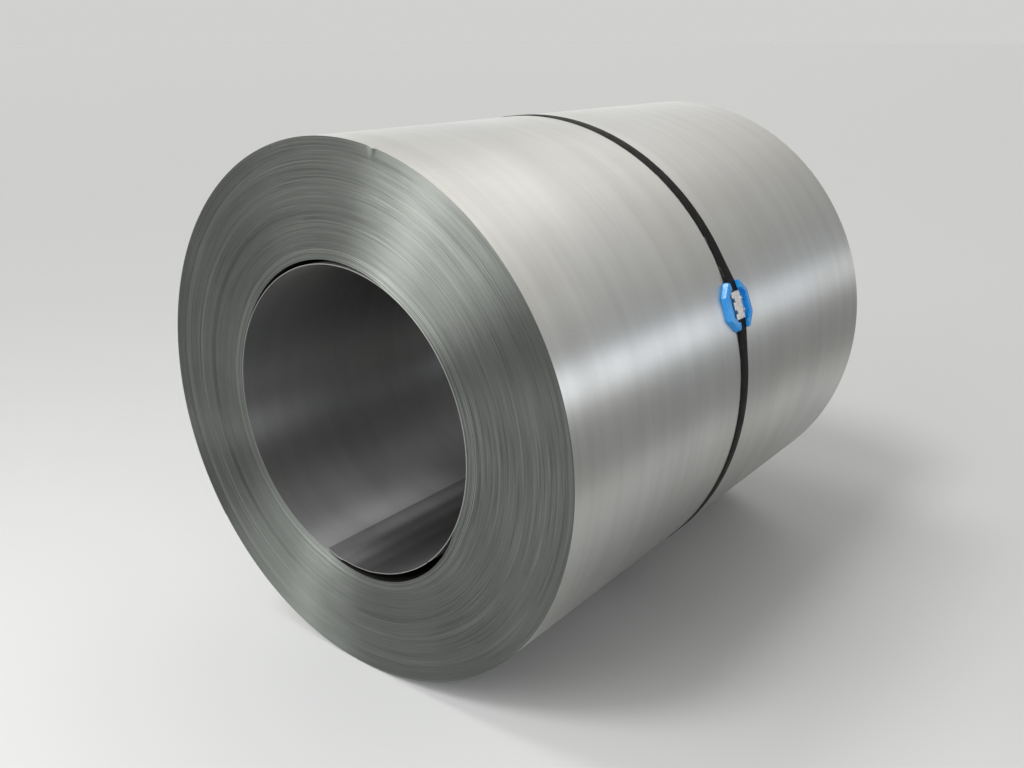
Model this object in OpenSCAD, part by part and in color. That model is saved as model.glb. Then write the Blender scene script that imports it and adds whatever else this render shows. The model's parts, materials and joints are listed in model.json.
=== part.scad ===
// A coil of steel strip that lies on its side, held by one steel strap round its middle.
// The strap's ends are lapped inside a crimped seal, and the seal sits in a moulded pad.
// X runs along the eye with the front end at -X, the seal faces -Y, and Z is up from the floor.
// Angles round the eye are counted from level on the seal's side, with up as plus.

/* [Strip] */
// Diameter of the eye, inside the innermost turn
eye_d = 610; // [508:1:762]
// Thickness of the strip
strip_t = 1.5; // [1:0.1:2.5]
// Number of turns between the eye and the outside
turns = 151; // [100:1:220]
// Width of the strip, which is the coil's length
strip_w = 1250; // [900:1:1600]
// Furthest that a pack of turns has slid along the eye, either way
slide = 2.5; // [0.5:0.1:4]

/* [Inner end] */
// Angle at which the strip's inner end lies
inner_end_a = -104; // [-115:1:-95]
// Arc of the eye's wall that runs out behind the inner end
inner_ramp_arc = 45; // [30:1:60]
// How far the inner end stands clear of the turn behind it
inner_end_clear = 0.3; // [0.2:0.1:1]
// Arc by which the gap behind the loose turn starts before the inner end
low_gap_lead = 2; // [1:0.5:4]
// Angle at which that gap closes
low_gap_to = -26; // [-40:1:-15]
// Depth of that gap at its middle
low_gap = 17; // [6:0.5:24]
// Angle at which the gap behind the top of the loose turn starts
top_gap_from = 63; // [50:1:75]
// Angle at which the top gap closes
top_gap_to = 149; // [135:1:160]
// Depth of the top gap at its middle
top_gap = 8; // [3:0.5:14]

/* [Outer end] */
// Angle at which the strip's outer end lies
outer_end_a = 218; // [190:1:250]
// Arc over which the outside falls by one thickness past the outer end
outer_ramp_arc = 60; // [40:1:80]

/* [Strap] */
// Width of the strap
strap_w = 32; // [25:1:38]
// Thickness of the strap
strap_t = 0.9; // [0.6:0.1:1.3]
// Distance of the strap from mid-length, towards the front end
strap_off = 20; // [0:1:100]
// Length of the lapped end that shows past the seal on each side
lap_out = 6; // [2:0.5:12]

/* [Seal] */
// Angle at which the strap is sealed
seal_a = 20.5; // [0:0.5:45]
// Length of the seal along the strap
seal_l = 57; // [45:1:64]
// Thickness of the seal's sheet
seal_t = 1; // [0.7:0.1:1.4]
// Width of each flange folded under the strap
flange_w = 11; // [8:0.5:12]
// Distance between the two crimps
crimp_gap = 24; // [20:1:28]
// Width of a crimp's notch
notch_w = 8; // [5:0.5:10]
// Depth of a crimp's notch into the strap's edge
notch_d = 4; // [2:0.5:5]
// Angle by which the tab at a notch is turned up
tab_tilt = 40; // [20:1:60]
// Gap between a tab and the sides of its notch
tab_gap = 0.5; // [0.2:0.1:1]

/* [Seal pad] */
// Length of the pad along the strap
pad_l = 100; // [92:1:120]
// Width of the pad across the strap
pad_w = 100; // [94:1:120]
// Length taken off each side at the pad's corners
pad_corner = 26; // [16:1:28]
// Thickness of the pad under the seal
pad_base = 3; // [2:0.5:5]
// Height of the rim's outer wall above the coil
wall_h = 9; // [6:0.5:10]
// Lean of the rim's outer wall, inwards
wall_lean = 12; // [4:1:25]
// Height of the rim's lip above the coil
rim_h = 11; // [10.5:0.5:14]
// Width of the slope between the outer wall and the lip
rim_slope = 8; // [5:0.5:10]
// Width of the pocket across the strap
pocket_w = 70; // [62:1:74]
// Length taken off each side at the pocket's corners
pocket_corner = 12; // [6:1:18]
// Room past each end of the seal in the pocket
pocket_room = 4; // [2:0.5:6]
// Room on each side of the strap where it passes through the rim
channel_room = 1.2; // [0.5:0.1:3]

/* [Fits] */
// Gap left where one piece lies on another
seat = 0.1; // [0.05:0.05:0.3]
// Room between the strap's edges and the seal's sides
seal_fit = 0.3; // [0.1:0.1:0.6]
// How far the strap's straight runs bed into its round, where they meet
run_in = 0.1; // [0.05:0.05:0.3]

/* [Hidden] */
$fn = 180;

// Share of the turns that lies inside each pack's outer edge, from the eye out
pack_ends = [0.08, 0.16, 0.225, 0.29, 0.345, 0.43, 0.605, 0.68, 0.745, 0.8, 0.86, 0.92, 0.965, 1];
// Slide of each pack towards the front end, as a share of the furthest
pack_slides = [0.2, -0.3, 0.1, -0.5, 0.3, -0.2, 1, 0.1, -0.4, 0.3, -0.2, -1, 0.4, 0.1];

eye_r = eye_d / 2;
loose_r = eye_r + strip_t;
coil_r = eye_r + turns * strip_t;
through = 2 * strip_w;
beyond = 2 * coil_r;

strap_r = coil_r + seat;
axis_h = strap_r + strap_t;
pad_floor_r = coil_r + seat + pad_base;
seal_low_r = pad_floor_r + seat;
flange_r = seal_low_r + seal_t;
strap_pad_r = flange_r + seat;
seal_roof_r = strap_pad_r + 2 * strap_t + seat;
seal_top_r = seal_roof_r + seal_t;
seal_in_w = strap_w + 2 * seal_fit;
seal_out_w = seal_in_w + 2 * seal_t;
lap_l = seal_l + 2 * lap_out;
tab_l = notch_d + seal_fit + seal_t;

// Straight runs of the strap: their distance from the eye's axis, and the angle of their normal
run_r = strap_r - run_in;
run_a = arc_deg(pad_l / 2, pad_floor_r) + acos(run_r / strap_pad_r);

// Angle of an arc of the length given
function arc_deg(length, r) = length / r * 180 / PI;

// Point at a radius and an angle
function polar(r, a) = [r * cos(a), r * sin(a)];

// Radius at the outer edge of a pack of turns, which is the eye's radius for none
function pack_r(i) = eye_r + strip_t * (i < 0 ? 0 : round(turns * pack_ends[i]));

// Shift of a round cut's centre, for a cut that is deepest in the middle and runs out at half its arc
function bite_shift(r, depth, half_arc) =
    (depth * depth + 2 * r * depth) / (2 * (r * (1 - cos(half_arc)) + depth));

// Shift of a round face's centre, for a face that lies one thickness low and comes up over the arc given
function fall_shift(r, depth, arc) =
    (2 * r * depth - depth * depth) / (2 * (r * (1 - cos(arc)) - depth));

// Lays the eye's axis along X at its height, from a frame with the axis on Z and angle 0 on X
module lay_down() {
    translate([0, 0, axis_h])
        rotate([90, 0, -90])
            children();
}

// Stands a shape on the coil at the seal: X along the strap, Y to the front end, Z out from the coil
module at_seal() {
    rotate([0, 0, seal_a])
        translate([coil_r, 0, strap_off])
            rotate([90, 0, 90])
                children();
}

// Sweeps a section round the eye over a length of arc, centred on the seal
module round_sweep(length, r) {
    arc = arc_deg(length, r);
    rotate([0, 0, seal_a - arc / 2])
        translate([0, 0, strap_off])
            rotate_extrude(angle = arc)
                children();
}

// Section of the wound strip, with each pack of turns slid along the eye
module wound_section() {
    packs = len(pack_ends);
    front = [for (i = [0 : packs - 1], r = [pack_r(i - 1), pack_r(i)])
        [r, strip_w / 2 + slide * pack_slides[i]]];
    back = [for (i = [packs - 1 : -1 : 0], r = [pack_r(i), pack_r(i - 1)])
        [r, -strip_w / 2 + slide * pack_slides[i]]];
    polygon(concat(front, back));
}

// Crescent gap behind the loose turn, between two angles
module turn_gap(from, to, depth) {
    half_arc = (to - from) / 2;
    shift = bite_shift(loose_r, depth, half_arc);
    rotate([0, 0, from + half_arc])
        difference() {
            translate([shift, 0, 0])
                cylinder(r = loose_r + depth - shift, h = through, center = true);
            cylinder(r = loose_r, h = 2 * through, center = true);
        }
}

// Cut behind the inner end, where the eye's wall runs out to the next turn
module inner_ramp() {
    depth = strip_t + inner_end_clear;
    shift = bite_shift(eye_r, depth, inner_ramp_arc);
    rotate([0, 0, inner_end_a])
        intersection() {
            translate([shift, 0, 0])
                cylinder(r = eye_r + depth - shift, h = through, center = true);
            translate([0, -beyond, -through])
                cube([beyond, beyond, 2 * through]);
        }
}

// Cut past the outer end, where the outside is one thickness lower
module outer_ramp() {
    shift = fall_shift(coil_r, strip_t, outer_ramp_arc);
    rotate([0, 0, outer_end_a])
        difference() {
            translate([0, 0, -through / 2])
                cube([beyond, beyond, through]);
            translate([-shift, 0, 0])
                cylinder(r = coil_r - strip_t + shift, h = 2 * through, center = true);
        }
}

module coil() {
    color([0.56, 0.57, 0.56])
        lay_down()
            difference() {
                rotate_extrude()
                    wound_section();
                turn_gap(inner_end_a - low_gap_lead, low_gap_to, low_gap);
                turn_gap(top_gap_from, top_gap_to, top_gap);
                inner_ramp();
                outer_ramp();
            }
}

// Outline of the space inside the strap, raised by a thickness: the coil's round and a tent over the pad
module inside_strap(raise) {
    foot = run_r + raise;
    circle(r = strap_r + raise);
    intersection() {
        circle(r = strap_pad_r + raise);
        polygon([[0, 0], polar(foot, -run_a), [foot / cos(run_a), 0], polar(foot, run_a)]);
    }
}

// Strap seen along the eye, with its lapped ends as a second layer at the seal
module strap_side() {
    lap_r = strap_pad_r + 2 * strap_t;
    half_lap = arc_deg(lap_l / 2, strap_pad_r);
    difference() {
        union() {
            inside_strap(strap_t);
            intersection() {
                circle(r = lap_r);
                polygon([[0, 0], polar(beyond, -half_lap), polar(beyond, half_lap)]);
            }
        }
        inside_strap(0);
    }
}

// Places a shape at each crimp on both sides: X out from the coil, Y along the strap, Z from the middle out
module at_crimps() {
    for (along = [-1, 1], side = [0, 1])
        rotate([0, 0, seal_a + along * arc_deg(crimp_gap / 2, strap_pad_r)])
            translate([0, 0, strap_off])
                mirror([0, 0, side])
                    children();
}

module crimp_notches() {
    at_crimps()
        translate([pad_floor_r, -notch_w / 2, strap_w / 2 - notch_d])
            cube([seal_top_r - pad_floor_r + seal_t, notch_w, tab_l + seal_t]);
}

module strap() {
    color([0.14, 0.13, 0.12])
        lay_down()
            difference() {
                rotate([0, 0, seal_a])
                    translate([0, 0, strap_off])
                        linear_extrude(height = strap_w, center = true)
                            strap_side();
                crimp_notches();
            }
}

// Section of the seal: a sleeve folded round the lapped strap, open along the middle underneath
module seal_section() {
    difference() {
        translate([seal_low_r, -seal_out_w / 2])
            square([seal_top_r - seal_low_r, seal_out_w]);
        translate([flange_r, -seal_in_w / 2])
            square([seal_roof_r - flange_r, seal_in_w]);
        translate([seal_low_r - seal_t, -seal_out_w / 2 + flange_w])
            square([2 * seal_t + seat, seal_out_w - 2 * flange_w]);
    }
}

module seal() {
    color([0.72, 0.7, 0.65])
        lay_down() {
            difference() {
                round_sweep(seal_l, strap_pad_r)
                    seal_section();
                crimp_notches();
            }
            at_crimps()
                translate([seal_roof_r, -notch_w / 2 + tab_gap, strap_w / 2 - notch_d - seal_t / 2])
                    rotate([0, tab_tilt, 0])
                        cube([seal_t, notch_w - 2 * tab_gap, tab_l]);
        }
}

// Prism that bounds the pad on two opposite sides: leaning walls, a slope and a flat top
module pad_sides(turn, half) {
    lean = tan(wall_lean);
    shoulder = half - wall_h * lean;
    right = [[half + wall_h * lean, -wall_h], [shoulder, wall_h], [shoulder - rim_slope, rim_h]];
    left = [for (i = [len(right) - 1 : -1 : 0]) [-right[i][0], right[i][1]]];
    rotate([90, 0, turn])
        linear_extrude(height = 2 * (pad_l + pad_w), center = true)
            polygon(concat(right, left));
}

// Pocket for the seal, and the channel that lets the strap through the rim
module pad_hollow() {
    half_l = seal_l / 2 + pocket_room;
    half_w = pocket_w / 2;
    channel_w = strap_w + 2 * channel_room;
    short_l = half_l - pocket_corner;
    short_w = half_w - pocket_corner;
    linear_extrude(height = 4 * rim_h, center = true) {
        polygon([[half_l, short_w], [short_l, half_w], [-short_l, half_w], [-half_l, short_w],
                 [-half_l, -short_w], [-short_l, -half_w], [short_l, -half_w], [half_l, -short_w]]);
        square([2 * pad_l, channel_w], center = true);
    }
}

module seal_pad() {
    corner_half = (pad_l / 2 + pad_w / 2 - pad_corner) / sqrt(2);
    color([0.1, 0.5, 0.85])
        lay_down()
            difference() {
                at_seal()
                    intersection() {
                        pad_sides(0, pad_l / 2);
                        pad_sides(90, pad_w / 2);
                        pad_sides(45, corner_half);
                        pad_sides(-45, corner_half);
                    }
                cylinder(r = coil_r + seat, h = through, center = true);
                difference() {
                    at_seal()
                        pad_hollow();
                    cylinder(r = pad_floor_r, h = through, center = true);
                }
            }
}

coil();
strap();
seal();
seal_pad();
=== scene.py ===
"""Dresses a lying steel coil: its wound turns, a loose inner turn, a strap, the strap's seal and a pad.

Everything is in metres, in the frame of the packed part: X runs along the eye with the front end at -X,
the seal faces -Y, and Z is up from the floor. Angles round the eye are counted from level on the seal's
side, with up as plus.
"""

import json
import math

import bpy
import numpy as np
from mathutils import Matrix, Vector


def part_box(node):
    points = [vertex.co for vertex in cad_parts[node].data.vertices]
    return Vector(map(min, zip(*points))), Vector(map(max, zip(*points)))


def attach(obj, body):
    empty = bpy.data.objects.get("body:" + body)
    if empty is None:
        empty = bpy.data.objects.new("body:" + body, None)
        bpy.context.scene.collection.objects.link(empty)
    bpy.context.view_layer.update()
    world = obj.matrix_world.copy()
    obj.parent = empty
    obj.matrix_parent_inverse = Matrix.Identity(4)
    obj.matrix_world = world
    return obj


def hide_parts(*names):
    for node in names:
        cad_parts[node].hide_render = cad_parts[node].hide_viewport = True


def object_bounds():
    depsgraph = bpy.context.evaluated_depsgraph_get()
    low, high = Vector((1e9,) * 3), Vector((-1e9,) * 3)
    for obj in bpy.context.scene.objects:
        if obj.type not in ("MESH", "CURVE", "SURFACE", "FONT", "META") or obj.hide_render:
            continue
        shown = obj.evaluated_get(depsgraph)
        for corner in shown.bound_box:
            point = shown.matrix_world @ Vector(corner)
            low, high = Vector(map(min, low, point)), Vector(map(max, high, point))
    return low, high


bl_info = {
    "name": "Steel coil",
    "version": (1, 0, 0),
    "blender": (4, 5, 0),
    "location": "3D View > Sidebar > Steel coil",
    "description": "Winds a strapped steel coil turn by turn, with its finishes and a plain studio",
    "category": "Add Mesh",
}

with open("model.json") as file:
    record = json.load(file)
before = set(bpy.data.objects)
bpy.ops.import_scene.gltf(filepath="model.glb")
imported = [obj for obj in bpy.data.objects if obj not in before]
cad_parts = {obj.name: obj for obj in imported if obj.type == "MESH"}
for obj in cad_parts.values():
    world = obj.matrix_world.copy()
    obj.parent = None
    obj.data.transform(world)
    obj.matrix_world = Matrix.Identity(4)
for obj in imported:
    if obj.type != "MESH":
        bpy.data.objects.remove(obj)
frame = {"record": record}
CAD_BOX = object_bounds()
EYE = next(mount for mount in frame["record"]["mounts"] if mount["name"] == "eye")
AXIS_H = EYE["pos_m"][2]
STRAP_LOW, STRAP_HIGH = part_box("strap")

BODY = "root"
SEED = 7392
MM = 0.001
FULL_TURN = 2 * math.pi
STRIP_MAP = "strip"
BAKE_MAP = "OFBake"

# Share of the turns that lies inside each pack's outer edge, from the eye out
PACK_ENDS = np.array([0.08, 0.16, 0.225, 0.29, 0.345, 0.43, 0.605, 0.68, 0.745, 0.8, 0.86, 0.92, 0.965, 1])
# Slide of each pack towards the front end, as a share of the furthest
PACK_SLIDES = np.array([0.2, -0.3, 0.1, -0.5, 0.3, -0.2, 1, 0.1, -0.4, 0.3, -0.2, -1, 0.4, 0.1])

# Zones of the wound strip, which are also the places of their finishes on a piece
OUTSIDE, ENDS, BORE = range(3)


def length(name, description, metres):
    """A size that a user can change, in metres."""
    return bpy.props.FloatProperty(
        name=name, description=description, default=metres, unit="LENGTH", precision=4)


def angle(name, description, degrees):
    """An angle that a user can change, given here in degrees."""
    return bpy.props.FloatProperty(
        name=name, description=description, default=math.radians(degrees), subtype="ANGLE")


def colour(name, description, rgb):
    """A colour that a user can change."""
    return bpy.props.FloatVectorProperty(
        name=name, description=description, default=rgb, min=0.0, max=1.0, subtype="COLOR")


def place(name, description, xyz):
    """A place or a direction that a user can change."""
    return bpy.props.FloatVectorProperty(name=name, description=description, default=xyz, subtype="XYZ")


def light_level(name, description, value):
    """A level of light that a user can change."""
    return bpy.props.FloatProperty(name=name, description=description, default=value, min=0.0)


def power(name, description, watts):
    """A lamp's power that a user can change."""
    return bpy.props.FloatProperty(name=name, description=description, default=watts, unit="POWER")


class CoilSettings(bpy.types.PropertyGroup):
    """Sizes and colours of the wound strip."""

    eye_radius: length("Eye radius", "Radius inside the innermost turn", EYE["dims"]["r_mm"] * MM)
    strip_thickness: length("Strip thickness", "Thickness of the strip", 1.5 * MM)
    strip_width: length("Strip width", "Width of the strip, which is the coil's length", 1.25)
    turns: bpy.props.IntProperty(name="Turns", description="Turns from the eye to the outside", default=151)
    slide: length("Slide", "Furthest that a pack of turns has slid along the eye", 2.5 * MM)
    stray: length("Stray", "How far single turns stray from their pack", 0.07 * MM)
    lean: length("Lean", "How far each edge falls off towards its outer side, from its middle", 0.1 * MM)
    groove: length("Groove", "Depth of the groove between two turns at the ends", 0.3 * MM)
    groove_width: length("Groove width", "Width of that groove", 0.14 * MM)
    ripple: length("Ripple", "Depth of the outside's shallow ripples", 0.3 * MM)
    inner_end: angle("Inner end", "Angle at which the strip's inner end lies", -104)
    inner_ramp: angle("Inner ramp", "Arc over which the loose turn runs out to the next one", 45)
    inner_bed: length("Inner bed", "How far the loose turn stays proud of the next one", 0.04 * MM)
    inner_lift: length("Inner lift", "How far the free inner end springs into the eye", 4 * MM)
    crease: length("Crease", "Depth of the creases near the free inner end", 1.4 * MM)
    low_gap_from: angle("Low gap from", "Angle at which the gap behind the inner end starts", -106)
    low_gap_to: angle("Low gap to", "Angle at which that gap closes", -26)
    low_gap: length("Low gap", "Depth of that gap at its middle", 17 * MM)
    top_gap_from: angle("Top gap from", "Angle at which the gap over the loose turn starts", 63)
    top_gap_to: angle("Top gap to", "Angle at which the top gap closes", 149)
    top_gap: length("Top gap", "Depth of the top gap at its middle", 8 * MM)
    gap_reach: length("Gap reach", "Depth of wound turns that bend round a gap", 130 * MM)
    outer_end: angle("Outer end", "Angle at which the strip's outer end lies", 218)
    outer_ramp: angle("Outer ramp", "Arc over which the outside falls past the outer end", 60)
    dent_angle: angle("Dent angle", "Angle of the dent in the front end's outer edge", 78)
    dent_depth: length("Dent depth", "Depth of that dent", 2.4 * MM)
    dent_width: length("Dent width", "Half the width of that dent", 5 * MM)
    face_colour: colour("Strip colour", "Colour of the rolled surface", (0.56, 0.57, 0.56))
    edge_colour: colour("Edge colour", "Colour of the slit edges on the ends", (0.17, 0.18, 0.168))
    # Painted shade: a dark colour for the strip under the loose turn, seen through the gaps, in place of the
    # shade there.
    gap_shade_colour: colour("Covered colour", "Colour of the strip under the loose turn", (0.13, 0.13, 0.125))
    rubbed_colour: colour("Rubbed colour", "Colour of the loose turn's rubbed edges", (0.36, 0.36, 0.35))
    # The inner turns are darker than the outside: partly oil stain, partly painted shade inside the eye.
    bore_stain_and_shade_colour: colour("Bore colour", "Colour of the inner turns", (0.245, 0.246, 0.25))


class StrapSettings(bpy.types.PropertyGroup):
    """Sizes and colours of the strap and its seal."""

    width: length("Strap width", "Width of the strap", STRAP_HIGH.x - STRAP_LOW.x)
    thickness: length("Strap thickness", "Thickness of the strap", 0.9 * MM)
    seat: length("Seat", "Gap left where one piece lies on another", 0.1 * MM)
    run_in: length("Run in", "How far the straight runs bed into the strap's round", 0.1 * MM)
    lap_out: length("Lap", "Length of each lapped end that shows past the seal", 6 * MM)
    seal_angle: angle("Seal angle", "Angle at which the strap is sealed", 20.5)
    seal_length: length("Seal length", "Length of the seal along the strap", 57 * MM)
    seal_thickness: length("Seal thickness", "Thickness of the seal's sheet", 1 * MM)
    seal_fit: length("Seal fit", "Room between the strap's edges and the seal's sides", 0.3 * MM)
    flange: length("Flange", "Width of each flange folded under the strap", 11 * MM)
    crimp_gap: length("Crimp gap", "Distance between the two crimps", 24 * MM)
    notch_width: length("Notch width", "Width of a crimp's notch", 8 * MM)
    notch_depth: length("Notch depth", "Depth of a crimp's notch into the strap's edge", 4 * MM)
    tab_tilt: angle("Tab tilt", "Angle by which the tab at a notch is turned up", 40)
    tab_gap: length("Tab gap", "Gap between a tab and the sides of its notch", 0.5 * MM)
    paint_colour: colour("Paint colour", "Colour of the strap's black paint", (0.007, 0.0068, 0.0062))
    bare_colour: colour("Bare steel", "Colour where the paint has worn off", (0.45, 0.44, 0.42))
    zinc_colour: colour("Zinc colour", "Colour of the galvanised seal", (0.72, 0.7, 0.65))


class PadSettings(bpy.types.PropertyGroup):
    """Sizes and colour of the moulded pad under the seal."""

    length: length("Pad length", "Length of the pad along the strap", 100 * MM)
    width: length("Pad width", "Width of the pad across the strap", 100 * MM)
    corner: length("Corner", "Length taken off each side at the pad's corners", 26 * MM)
    base: length("Base", "Thickness of the pad under the seal", 3 * MM)
    wall_height: length("Wall height", "Height of the rim's outer wall above the coil", 9 * MM)
    wall_lean: angle("Wall lean", "Lean of the rim's outer wall, inwards", 12)
    rim_height: length("Rim height", "Height of the rim's lip above the coil", 11 * MM)
    rim_slope: length("Rim slope", "Width of the slope between the outer wall and the lip", 8 * MM)
    pocket_width: length("Pocket width", "Width of the pocket across the strap", 70 * MM)
    pocket_corner: length("Pocket corner", "Length taken off each side at the pocket's corners", 12 * MM)
    pocket_room: length("Pocket room", "Room past each end of the seal in the pocket", 4 * MM)
    channel_room: length("Channel room", "Room on each side of the strap in the rim", 1.2 * MM)
    rounding: length("Rounding", "Radius of the moulded edges", 1.8 * MM)
    plastic_colour: colour("Plastic colour", "Colour of the moulded plastic", (0.022, 0.29, 0.76))


class StageSettings(bpy.types.PropertyGroup):
    """Camera, lamps and floor."""

    camera_place: place("Camera", "Place of the camera", (-1.7683, -1.3032, 1.2197))
    camera_aim: place("Camera aim", "Direction in which the camera looks", (0.7406, 0.582, -0.3358))
    lens: bpy.props.FloatProperty(
        name="Lens", description="Focal length in millimetres", default=33.97, unit="CAMERA")
    key_way: place("Key way", "Direction towards the key light", (-0.55, 0.2, 0.81))
    key_level: light_level("Key level", "Light of the key on a surface that faces it", 1.1)
    side_way: place("Side way", "Direction towards the side light", (-0.14, 0.5, 0.855))
    side_level: light_level("Side level", "Light of the side light on a surface that faces it", 0.75)
    sun_angle: angle("Spread", "Angle over which the key and the side light are spread", 16)
    front_place: place("Front lamp", "Place of the lamp that lights the front end", (-2.5, 0.3, 1.85))
    front_power: power("Front power", "Power of the front lamp", 47)
    front_size: length("Front size", "Width of the front lamp", 2.1)
    front_height: length("Front height", "Height of the front lamp", 1.6)
    fill_place: place("Fill lamp", "Place of the lamp that lights the seal's side", (-2.0, -6.2, 0.9))
    fill_power: power("Fill power", "Power of the fill lamp", 45)
    fill_size: length("Fill size", "Width of the fill lamp", 2.5)
    floor_reach: length("Floor reach", "Half the width of the floor", 300)
    floor_colour: colour("Floor colour", "Colour of the pale floor", (0.54, 0.545, 0.54))
    # Painted shadow: share of the floor's colour left in the floor's painted shadow patch beside the coil.
    floor_painted_shade: bpy.props.FloatProperty(
        name="Floor fall", description="Share of that colour left in the floor's darker patch",
        default=0.46, min=0.0, max=1.0, subtype="FACTOR")


def seal_sizes(coil, strap, pad):
    """Radii from the eye's axis at the seal, each stacked on the one before with the seat's gap."""
    coil_r = coil.eye_radius + coil.turns * coil.strip_thickness
    floor_r = coil_r + strap.seat + pad.base
    strap_r = floor_r + 2 * strap.seat + strap.seal_thickness
    top_r = strap_r + 2 * strap.thickness + strap.seat + strap.seal_thickness
    return {"coil": coil_r, "floor": floor_r, "strap": strap_r, "top": top_r}


def round_eye(radius, turn, along):
    """Points at a radius and an angle round the eye's axis, at a place along it."""
    across = -radius * np.cos(turn)
    height = AXIS_H + radius * np.sin(turn)
    return np.stack(np.broadcast_arrays(along, across, height), axis=-1)


def grid_quads(rows, columns, wrap_rows, wrap_columns):
    """Quads of a grid of points: each joins a point to the next in its row, then to the row after.
    A wrapped direction also joins its last line to its first. Each quad's row and column come with it."""
    row = np.arange(rows if wrap_rows else rows - 1)
    column = np.arange(columns if wrap_columns else columns - 1)
    row, column = (index.ravel() for index in np.meshgrid(row, column, indexing="ij"))
    below = (row + 1) % rows
    right = (column + 1) % columns
    here, under = row * columns, below * columns
    return np.stack([here + column, here + right, under + right, under + column], axis=1), row, column


def across_ring(ring):
    """Quads that close a ring of points: each joins two neighbours on its first half to the two opposite."""
    half = len(ring) // 2
    near, far = ring[:half], ring[: half - 1 : -1]
    return np.stack([near[:-1], near[1:], far[1:], far[:-1]], axis=1)


def swept_caps(rows, columns):
    """Quads that close both ends of a section that is carried along a path."""
    first = across_ring(np.arange(rows) * columns)
    return np.concatenate([first, first[:, ::-1] + columns - 1])


def paired(values):
    """Each value with the one after it."""
    return np.stack([values[:-1], values[1:]], axis=1)


def grid_map(along, across, row, column):
    """Map of a grid's quads: along holds the two values of each column of quads, across those of each row."""
    u = along[column][:, [0, 1, 1, 0]]
    v = across[row][:, [0, 0, 1, 1]]
    return np.stack([u, v], axis=-1)


def make_piece(name, points, quads, materials, maps=None, places=None, sharp_degrees=32):
    """Makes a smooth-shaded object at the origin from points and quads, with its maps and finishes.
    The faces are turned outwards: the volume, summed from each quad's two triangles, is positive."""
    points = points.reshape(-1, 3)
    a, b, c, d = (points[quads[:, corner]] for corner in range(4))
    volume = np.sum(np.cross(b, c) * a) + np.sum(np.cross(c, d) * a)
    order = slice(None) if volume > 0 else slice(None, None, -1)
    mesh = bpy.data.meshes.new(name)
    mesh.from_pydata(points, [], quads[:, order].tolist())
    for map_name, corners in (maps or {}).items():
        layer = mesh.uv_layers.new(name=map_name)
        layer.uv.foreach_set("vector", corners[:, order].astype(np.float32).ravel())
    for material in materials:
        mesh.materials.append(material)
    if places is not None:
        mesh.polygons.foreach_set("material_index", places.astype(np.int32))
    mesh.polygons.foreach_set("use_smooth", np.ones(len(quads), dtype=bool))
    mesh.set_sharp_from_angle(angle=math.radians(sharp_degrees))
    mesh.update()
    piece = bpy.data.objects.new(name, mesh)
    bpy.context.scene.collection.objects.link(piece)
    return piece


def hand_in(piece, node):
    """Lets a piece stand for a node of the packed part, on its body."""
    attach(piece, BODY)
    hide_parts(node)


class Nodes:
    """A node tree, with short calls for the nodes that the finishes and the sky are made of."""

    def __init__(self, tree):
        self.tree = tree

    def feed(self, socket, value):
        """Links a socket to another node's output, or sets its value."""
        if isinstance(value, bpy.types.NodeSocket):
            self.tree.links.new(value, socket)
        else:
            socket.default_value = value

    def add(self, kind, inputs=None, **settings):
        """Adds a node with these settings, and feeds its inputs."""
        node = self.tree.nodes.new(kind)
        for key, value in settings.items():
            setattr(node, key, value)
        for key, value in (inputs or {}).items():
            self.feed(node.inputs[key], value)
        return node

    def math(self, operation, first, second=0.0):
        """Sum, product or other operation on one or two values."""
        return self.add("ShaderNodeMath", {0: first, 1: second}, operation=operation).outputs["Value"]

    def fit(self, value, low, high, new_low, new_high):
        """Fits a value smoothly from one range to another, and holds it there."""
        inputs = {"Value": value, "From Min": low, "From Max": high, "To Min": new_low, "To Max": new_high}
        return self.add("ShaderNodeMapRange", inputs, interpolation_type="SMOOTHSTEP").outputs["Result"]

    def mix(self, factor, first, second):
        """Mixes two colours."""
        node = self.add("ShaderNodeMix", data_type="RGBA")
        self.feed(node.inputs[0], factor)
        self.feed(node.inputs[6], first)
        self.feed(node.inputs[7], second)
        return node.outputs[2]

    def tone(self, rgb, value):
        """Multiplies a colour by a value."""
        return self.add("ShaderNodeVectorMath", {0: rgb, 1: value}, operation="MULTIPLY").outputs["Vector"]

    def ramp(self, value, stops):
        """Colour from a list of places and colours."""
        node = self.add("ShaderNodeValToRGB", {"Fac": value})
        elements = node.color_ramp.elements
        elements[0].position, elements[1].position = stops[0][0], stops[-1][0]
        for at, _ in stops[1:-1]:
            elements.new(at)
        for element, (_, rgb) in zip(elements, stops):
            element.color = (*rgb, 1.0)
        return node.outputs["Color"]


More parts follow.
